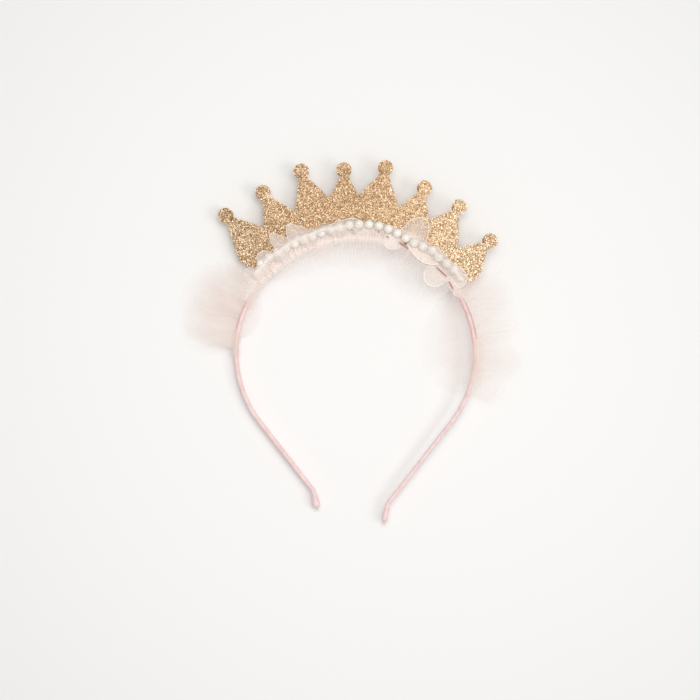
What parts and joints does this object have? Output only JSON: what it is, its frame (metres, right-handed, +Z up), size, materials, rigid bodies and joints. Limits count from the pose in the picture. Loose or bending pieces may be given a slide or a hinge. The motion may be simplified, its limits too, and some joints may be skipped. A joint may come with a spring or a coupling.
{
  "type": "mini crown headband",
  "caption": "Slim ribbon-wrapped headband with a small flat glitter crown, a pearl line on a gathered organza ruffle, and a tuft of tulle on each side.",
  "frame": {"origin": "the centre of the head arc, on the surface that the band lies on", "axes": "+Z up through the strip's width, +Y from the centre of the head arc to the top of the band and the crown, +X to the right as seen from above"},
  "size_m": [0.1791, 0.1871, 0.0198],
  "materials": {
    "satin_ribbon": "pale pink satin ribbon, wound",
    "folded_ribbon": "pale pink satin ribbon, folded and glued",
    "glitter_sheet": "champagne gold glitter on a felted foam sheet",
    "organza": "sheer off-white organza ribbon",
    "pearls": "ivory pearl lustre",
    "pearl_thread": "plain sewing thread",
    "tulle": "soft pale pink tulle net"
  },
  "bodies": {
    "root": {"band": "satin_ribbon", "left_end_fold": "folded_ribbon", "right_end_fold": "folded_ribbon", "crown": "glitter_sheet", "ruffle": "organza", "pearl_thread": "pearl_thread", "pearl_01": "pearls", "pearl_02": "pearls", "pearl_03": "pearls", "pearl_04": "pearls", "pearl_05": "pearls", "pearl_06": "pearls", "pearl_07": "pearls", "pearl_08": "pearls", "pearl_09": "pearls", "pearl_10": "pearls", "pearl_11": "pearls", "pearl_12": "pearls", "pearl_13": "pearls", "pearl_14": "pearls", "pearl_15": "pearls", "pearl_16": "pearls", "pearl_17": "pearls", "pearl_18": "pearls", "pearl_19": "pearls", "pearl_20": "pearls", "pearl_21": "pearls", "pearl_22": "pearls", "pearl_23": "pearls", "tulle_left_low": "tulle", "tulle_left_middle": "tulle", "tulle_left_top": "tulle", "tulle_right_low": "tulle", "tulle_right_middle": "tulle", "tulle_right_top": "tulle"}
  },
  "joints": []
}
